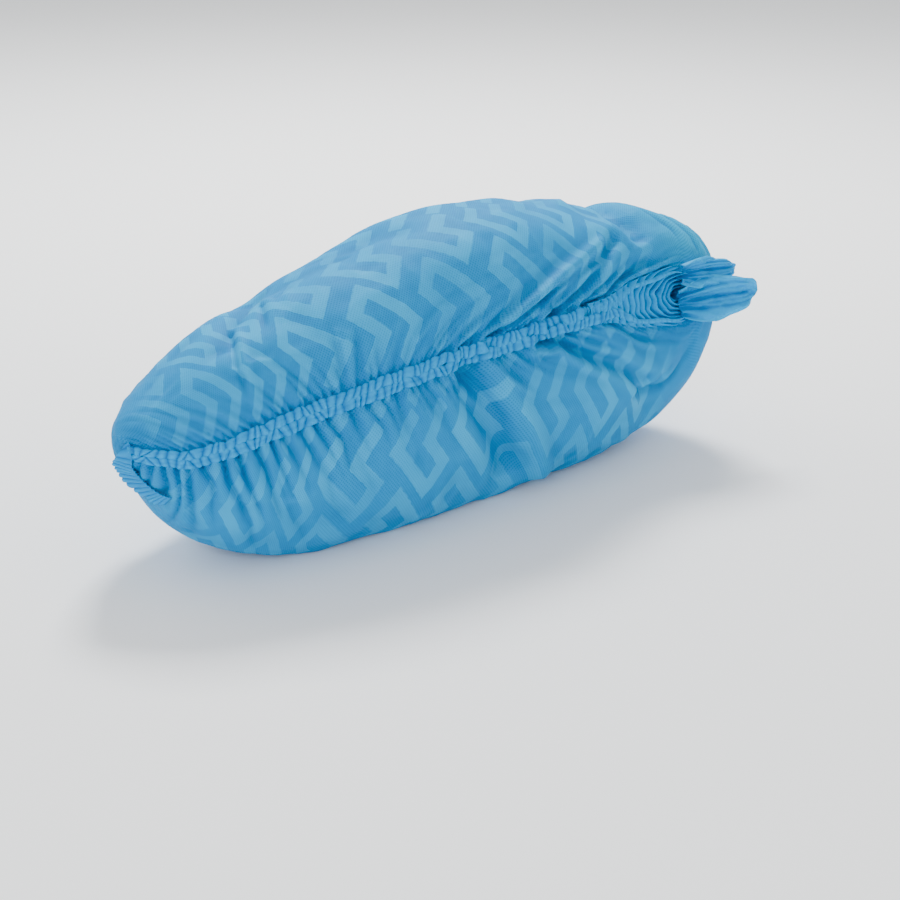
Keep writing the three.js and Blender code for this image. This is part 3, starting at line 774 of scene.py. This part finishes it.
def makeToeFrill():
    # the gathered ends of the hem: a strip between two lines on the body that stands off it more
    # and more towards its free edge, with narrow folds across it, counted by its length
    t = np.linspace(0, 1, frill["rows"])
    edges = []
    for line in (frill["foot"], frill["free"]):
        even = np.linspace(0, 1, len(line))
        share, round_ = (np.interp(t, even, [place[k] for place in line]) for k in (0, 1))
        half = halfAngle(share, lipGap(share))
        edge = smoothPoint(share, half + round_ * 2 * (math.pi - half))
        rounded = np.exp(-((t[:, None] - t) / 0.05) ** 2)
        edges.append(rounded @ edge / rounded.sum(axis=1, keepdims=True))
    free = np.linspace(0, 1, frill["columns"])[None, :]
    toeMiddle = body["origin"][0] - 0.5 * body["length"] + body["toeRound"]
    middle = np.array([toeMiddle, body["origin"][1], 0.052])
    normal = 0.5 * (edges[0] + edges[1]) - middle
    normal /= np.linalg.norm(normal, axis=1, keepdims=True)
    distance = runAlong(edges[1])
    number = distance / frill["pitch"] + 0.5 * smoothNoise(distance / 4, 90)
    own = 1 + 0.5 * smoothNoise(np.floor(number) + 0.5, 95)
    crest = ridges(number, 0.8, 1.1)
    fold = (own * crest)[:, None] * (0.5 + 0.5 * free)
    slim = (0.3 + 0.7 * np.sin(math.pi * t) ** 0.5)[:, None]
    waved = slim * (1 + 0.22 * smoothNoise(distance / 2.5, 99)[:, None])
    lift = frill["stand"] + frill["rise"] * free * slim + 0.5 * frill["ruffle"] * fold * slim
    points = edges[0][:, None] + (edges[1] - edges[0])[:, None] * (free * waved)[..., None]
    points = points + normal[:, None] * lift[..., None]
    # painted shade over the frill, deepest in the valleys between its folds
    paint = {"pinchShade": np.clip(0.9 - 0.8 * fold, 0, 1.3)}
    return gridMesh("toeFrill", points, paint=paint, thickness=frill["thickness"])


toeFrill = makeToeFrill()
print("toe frill made")


# the welded end seams

seam = {
    "height": 0.0022, "thickness": 0.0006, "rows": 240, "columns": 7,
    "ruffle": 0.00045, "pitch": 4.2, # sway of the edge, and its beat in millimetres
    # shares of the body that a seam runs behind it and towards the mouth, and the root of the share
    # at which the toe's seam starts
    "run": 0.12, "mouthRun": 0.04, "toeStart": 0.17,
}


def makeSeam(name, atHeel):
    # a strip that stands off the body; its edge sways to both sides with a wavy, uneven beat
    mouthRun = seam["mouthRun"] if atHeel else 0.0
    start = -math.sqrt(mouthRun) if atHeel else seam["toeStart"]
    root = np.linspace(start, math.sqrt(seam["run"]), seam["rows"])
    run = root * np.abs(root)
    share = 1 - np.abs(run) if atHeel else np.abs(run)
    angle = np.where(run < 0, 0.0, math.pi)
    normal = outwards(share, angle)
    base = smoothPoint(share, angle) + normal * 0.0001
    distance = runAlong(base)
    beat = 2 * math.pi * distance / seam["pitch"] + 2 * smoothNoise(distance / 9, 70)
    rise = np.linspace(0, 1, seam["columns"])
    tall = seam["height"] * (1 + 0.18 * smoothNoise(distance / 3, 80))
    fade = smoothStep(0, 3, distance) * smoothStep(0, 3, distance[-1] - distance)
    sway = seam["ruffle"] * np.sin(beat)
    tall = tall * (0.25 + 0.75 * fade)
    points = base[:, None] + normal[:, None] * tall[:, None, None] * rise[None, :, None]
    points[..., 2] += sway[:, None] * rise**1.5
    return gridMesh(name, points, thickness=seam["thickness"])


toeSeam = makeSeam("toeSeam", False)
heelSeam = makeSeam("heelSeam", True)
print("seams made")


# materials

def fillInputs(tree, node, inputs):
    # gives each named input a value, or a link where the value is another node's output
    for name, value in inputs.items():
        if isinstance(value, bpy.types.NodeSocket):
            tree.links.new(value, node.inputs[name])
        else:
            node.inputs[name].default_value = value


def addNode(tree, kind, settings=None, inputs=None, output=0):
    # adds a node with its settings and inputs, and returns one of its outputs
    node = tree.nodes.new(kind)
    for name, value in (settings or {}).items():
        setattr(node, name, value)
    fillInputs(tree, node, inputs or {})
    return node.outputs[output]


def newMaterial(name):
    material = bpy.data.materials.new(name)
    material.use_nodes = True
    return material, material.node_tree, material.node_tree.nodes["Principled BSDF"]


finish = {
    # the thin tint is painted light shining through the stretched cloth at the heel
    "cloth": "#0080be", "cloudy": "#0090cc", "print": "#2cb4e6", "layered": "#0068ac", "shineThrough": "#0cb0d8",
    # tints for the bonding points (their own pattern, with painted shade showing through), the painted
    # shade in hollows, the painted highlight on ridges, and the sheen
    "deep": "#00568e", "paintedHighlight": "#18ace0", "paintedShade": "#0076b0", "sheen": "#3fa8ff",
    # the hem's dark tint is painted shade in its pinches, and in those of the other drawn pieces
    "hem": "#0096d4", "pinchShadeTint": "#0058a0", "hemLight": "#00a2e0",
    "tuft": "#009cda", "tuftLight": "#1cb2ea", "seam": "#0a8ccc", "seamDark": "#0068a8",
    # Sizes in millimetres: clumps of fibres, also in drawn cloth, the ragged edge of the print, the
    # weld's ticks, and two that are coarser than the real ones so that they show, the distance of
    # the bonding points and the fibres.
    "clump": 4.167, "drawnClump": 1.923, "ragged": 2.381, "tick": 2.417, "bondPitch": 1.15, "fibre": 0.714,
    # tint, the share of it that shows, and the paint that says where; the layers in hollows and on ridges
    # are painted shade and painted highlight, and the layer at the thin heel is painted light shining
    # through the cloth
    "layers": [("layered", 0.75, "gathered"), ("shineThrough", 0.75, "shineThrough"), ("paintedShade", 0.60, "hollowShade"),
               ("paintedHighlight", 0.25, "ridgeHighlight")],
}

# what makes the cloth look thin and matt in every material of it
thinCloth = {
    "Specular IOR Level": 0.06, "Sheen Weight": 0.02, "Sheen Tint": linearColour(finish["sheen"]),
    "Subsurface Radius": (0.6, 1.0, 1.4), "Subsurface Scale": 0.001,
}


def tintOver(tree, colour, tint, mask, share=1.0):
    # a layer of tint over a colour, as strong as the mask times the share, a number or a link
    strength = addNode(tree, "ShaderNodeMath", {"operation": "MULTIPLY"}, {0: mask, 1: share})
    inputs = {0: strength, 6: colour, 7: linearColour(finish[tint])}
    return addNode(tree, "ShaderNodeMix", {"data_type": "RGBA"}, inputs, 2)


def printMask(tree, along, across):
    # two hooked zigzags in each repeat; on coordinates turned by 45 degrees every stroke is an
    # upright box, which is 1 where both coordinates are near its middle
    bottom, mask = antiSlip["bottom"], 0.0
    row = addNode(tree, "ShaderNodeMath", {"operation": "WRAP"}, {
        0: across, 1: bottom + antiSlip["rowHeight"], 2: bottom})
    for start, corners in antiSlip["zigzags"]:
        column = addNode(tree, "ShaderNodeMath", {"operation": "WRAP"}, {
            0: along, 1: start + antiSlip["repeat"], 2: start})
        turned = []
        for operation in ("ADD", "SUBTRACT"):
            both = addNode(tree, "ShaderNodeMath", {"operation": operation}, {0: row, 1: column})
            turned.append(addNode(tree, "ShaderNodeMath", {"operation": "MULTIPLY"}, {
                0: both, 1: math.sqrt(0.5)}))
        for stroke in zip(corners, corners[1:]):
            inside = 1.0
            for value, low, high in zip(turned, *stroke):
                near = addNode(tree, "ShaderNodeMath", {"operation": "COMPARE"}, {
                    0: value, 1: 0.5 * (low + high), 2: 0.5 * abs(high - low) + antiSlip["stroke"]})
                inside = addNode(tree, "ShaderNodeMath", {"operation": "MULTIPLY"}, {0: near, 1: inside})
            mask = addNode(tree, "ShaderNodeMath", {"operation": "MAXIMUM"}, {0: inside, 1: mask})
    return mask


def makeClothMaterial():
    # spunbond polypropylene: matt with a faint sheen, small embossed bonding points in a diamond lattice,
    # cloudy where the fibres lie thicker, and a paler raised anti-slip print; painted shade in its hollows,
    # painted highlight on its ridges and painted light shining through where it is stretched thin
    material, tree, shader = newMaterial("spunbondPolypropylene")
    place = addNode(tree, "ShaderNodeUVMap", {"uv_map": "cloth"})
    own = addNode(tree, "ShaderNodeTexCoord", output="Object")
    paint = {name: addNode(tree, "ShaderNodeAttribute", {"attribute_name": name}, output="Fac")
             for name in ("gathered", "shineThrough", "hollowShade", "ridgeHighlight", "printed")}
    clouds = addNode(tree, "ShaderNodeTexNoise", None, {
        "Vector": own, "Scale": 1000 / finish["clump"], "Detail": 4.0, "Roughness": 0.6}, "Fac")
    colour = tintOver(tree, linearColour(finish["cloth"]), "cloudy", clouds)
    # over the gathered tint: painted light shining through the thin heel, painted shade in the hollows and
    # painted highlight on the ridges
    for tint, share, name in finish["layers"]:
        colour = tintOver(tree, colour, tint, paint[name], share)

    ragged = addNode(tree, "ShaderNodeTexNoise", None, {
        "Vector": own, "Scale": 1000 / finish["ragged"], "Detail": 2.0}, "Color")
    nudged = addNode(tree, "ShaderNodeVectorMath", {"operation": "MULTIPLY_ADD"}, {
        0: ragged, 1: (0.10, 0.10, 0.10), 2: place})
    parts = addNode(tree, "ShaderNodeSeparateXYZ", None, {0: nudged}).node.outputs
    ink = printMask(tree, parts["X"], parts["Y"])
    shown = ink
    fading = addNode(tree, "ShaderNodeMath", {"operation": "MULTIPLY_ADD"}, {
        0: paint["gathered"], 1: -antiSlip["showLoss"], 2: antiSlip["show"]})
    for factor in (paint["printed"], fading):
        shown = addNode(tree, "ShaderNodeMath", {"operation": "MULTIPLY"}, {0: shown, 1: factor})
    colour = tintOver(tree, colour, "print", shown)
    # painted shade in the hollows once more, over the print
    colour = tintOver(tree, colour, "paintedShade", paint["hollowShade"], 0.35)

    turned = addNode(tree, "ShaderNodeMapping", None, {"Vector": place, "Rotation": (0, 0, math.pi / 4)})
    bonds = addNode(tree, "ShaderNodeTexVoronoi", {"feature": "F1"}, {
        "Vector": turned, "Scale": antiSlip["unit"] / finish["bondPitch"], "Randomness": 0.0}, "Distance")
    # the bonding points are darker: their own pattern, with painted shade from the dark hollow inside
    # showing through them, less where the print lies over them
    bond = addNode(tree, "ShaderNodeMapRange", {"interpolation_type": "SMOOTHSTEP"}, {
        "Value": bonds, "From Min": 0.20, "From Max": 0.36, "To Min": 1.0, "To Max": 0.0})
    clear = addNode(tree, "ShaderNodeMath", {"operation": "MULTIPLY_ADD"}, {0: shown, 1: -0.38, 2: 0.50})
    colour = tintOver(tree, colour, "deep", bond, clear)

    pressed = addNode(tree, "ShaderNodeMath", {"operation": "MULTIPLY"}, {0: bond, 1: -1.0})
    for height, weight in ((ink, 0.35), (clouds, 0.5)):
        pressed = addNode(tree, "ShaderNodeMath", {"operation": "MULTIPLY_ADD"}, {
            0: height, 1: weight, 2: pressed})
    bump = addNode(tree, "ShaderNodeBump", None, {"Height": pressed, "Strength": 0.35, "Distance": 0.00025})
    fillInputs(tree, shader, {
        **thinCloth, "Base Color": colour, "Roughness": 0.62, "Subsurface Weight": 0.15, "Normal": bump})
    return material


def makeGatherMaterial(name, bright, light):
    # the same cloth drawn together: several layers give a deeper, fuller blue, with painted shade in the
    # pinches, creases and hollows, and paler along the edge of a petal; a piece that isn't painted with
    # edge reads 0 there
    material, tree, shader = newMaterial(name)
    own = addNode(tree, "ShaderNodeTexCoord", output="Object")
    pinchShade, edge = (addNode(tree, "ShaderNodeAttribute", {"attribute_name": attribute}, output="Fac")
                     for attribute in ("pinchShade", "edge"))
    clouds, fine = (addNode(tree, "ShaderNodeTexNoise", None, {
        "Vector": own, "Scale": 1000 / finish[size], "Detail": detail}, "Fac")
        for size, detail in (("drawnClump", 3.0), ("fibre", 2.0)))
    # painted shade where the pieces are pinched, creased or sunk
    colour = tintOver(tree, linearColour(finish[bright]), "pinchShadeTint", pinchShade, 0.75)
    colour = tintOver(tree, colour, light, clouds, 0.30)
    colour = tintOver(tree, colour, light, edge, 0.5)
    relief = addNode(tree, "ShaderNodeMath", {"operation": "MULTIPLY_ADD"}, {0: fine, 1: 0.5, 2: clouds})
    bump = addNode(tree, "ShaderNodeBump", None, {"Height": relief, "Strength": 0.5, "Distance": 0.0004})
    fillInputs(tree, shader, {
        **thinCloth, "Base Color": colour, "Roughness": 0.55, "Subsurface Weight": 0.20, "Normal": bump})
    return material


def makeSeamMaterial():
    # two layers welded together by ultrasound: flatter and slightly glossy, with the tool's cross
    # ticks, a wave that repeats after 0.2 pi units
    material, tree, shader = newMaterial("weldedSpunbond")
    own = addNode(tree, "ShaderNodeTexCoord", output="Object")
    ticks = addNode(tree, "ShaderNodeTexWave", {"wave_type": "BANDS", "bands_direction": "DIAGONAL"}, {
        "Vector": own, "Scale": 200 * math.pi / finish["tick"], "Distortion": 1.0}, "Fac")
    colour = tintOver(tree, linearColour(finish["seam"]), "seamDark", ticks, 0.4)
    bump = addNode(tree, "ShaderNodeBump", None, {"Height": ticks, "Strength": 0.4, "Distance": 0.0002})
    fillInputs(tree, shader, {"Base Color": colour, "Roughness": 0.42, "Normal": bump})
    return material


materials = {
    "nonwoven_cloth": makeClothMaterial(),
    "elastic_hem": makeGatherMaterial("gatheredSpunbond", "hem", "hemLight"),
    "tuft_cloth": makeGatherMaterial("looseSpunbond", "tuft", "tuftLight"),
    "welded_seam": makeSeamMaterial(),
}
print("materials made")


# how the pieces belong to the part; the last two stand for no node of their own

dressed = [
    (coverCloth, "nonwoven_cloth", "cover_shell"),
    (hemUpper, "elastic_hem", "hem_upper"), (hemLower, "elastic_hem", "hem_lower"),
    (leaves[0], "tuft_cloth", "tuft_leaf_long"), (leaves[1], "tuft_cloth", "tuft_leaf_short"),
    (toeSeam, "welded_seam", "toe_seam"), (heelSeam, "welded_seam", "heel_seam"),
    (mouthPleats, "elastic_hem", None), (toeFrill, "elastic_hem", None),
]
for piece, slot, node in dressed:
    piece.data.materials.append(materials[slot])
    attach(piece, "root")
    if node:
        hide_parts(node)


# floor, lights and camera

studio = {
    "floor": "#fbfcfc", "world": 0.92, "aim": (0, 0, 0.04),
    # name, place, size and power of each soft light
    "lights": [
        ("key", (0.45, 0.55, 0.95), 0.30, 19.0),
        ("front", (-1.00, -0.80, 0.60), 0.60, 8.0),
        ("back", (-0.30, 1.00, 0.80), 0.80, 3.0),
    ],
    "target": (-0.0014, 0.0013, 0.050), "distance": 0.750, "azimuth": -39.0, "elevation": 20.0,
    "lens": 70.0, "sensor": 36.0, "shift": (0.0244, -0.0800),
}


def makeFloor():
    # a matt sheet far larger than the view
    mesh = bpy.data.meshes.new("floor")
    mesh.from_pydata([(-5, -5, 0), (5, -5, 0), (5, 5, 0), (-5, 5, 0)], [], [(0, 1, 2, 3)])
    floor = newObject("floor", mesh)
    material, tree, shader = newMaterial("mattPaper")
    fillInputs(tree, shader, {"Base Color": linearColour(studio["floor"]), "Roughness": 0.9})
    mesh.materials.append(material)
    floor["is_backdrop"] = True


def makeLights():
    # soft lights that face the middle of the part, and an even pale sky
    for name, place, size, power in studio["lights"]:
        lamp = bpy.data.lights.new(name, "AREA")
        lamp.size = size
        lamp.energy = power
        light = newObject(name, lamp)
        light.location = place
        light.rotation_euler = (Vector(studio["aim"]) - Vector(place)).to_track_quat("-Z", "Y").to_euler()
    world = bpy.data.worlds.new("studio")
    bpy.context.scene.world = world
    world.use_nodes = True
    sky = world.node_tree.nodes["Background"]
    sky.inputs["Color"].default_value = (0.96, 0.98, 1.0, 1.0)
    sky.inputs["Strength"].default_value = studio["world"]


def makeCamera():
    # the eye stands at the photograph's angle round the target, above the floor
    a, e = math.radians(studio["azimuth"]), math.radians(studio["elevation"])
    back = Vector((math.sin(a) * math.cos(e), -math.cos(a) * math.cos(e), math.sin(e)))
    lens = bpy.data.cameras.new("camera")
    lens.lens, lens.sensor_width = studio["lens"], studio["sensor"]
    lens.shift_x, lens.shift_y = studio["shift"]
    lens.clip_start = 0.01
    camera = newObject("camera", lens)
    camera.location = Vector(studio["target"]) + back * studio["distance"]
    camera.rotation_euler = (-back).to_track_quat("-Z", "Y").to_euler()
    bpy.context.scene.camera = camera


makeFloor()
makeLights()
makeCamera()
print("studio made")

visualBox = [list(corner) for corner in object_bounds()]
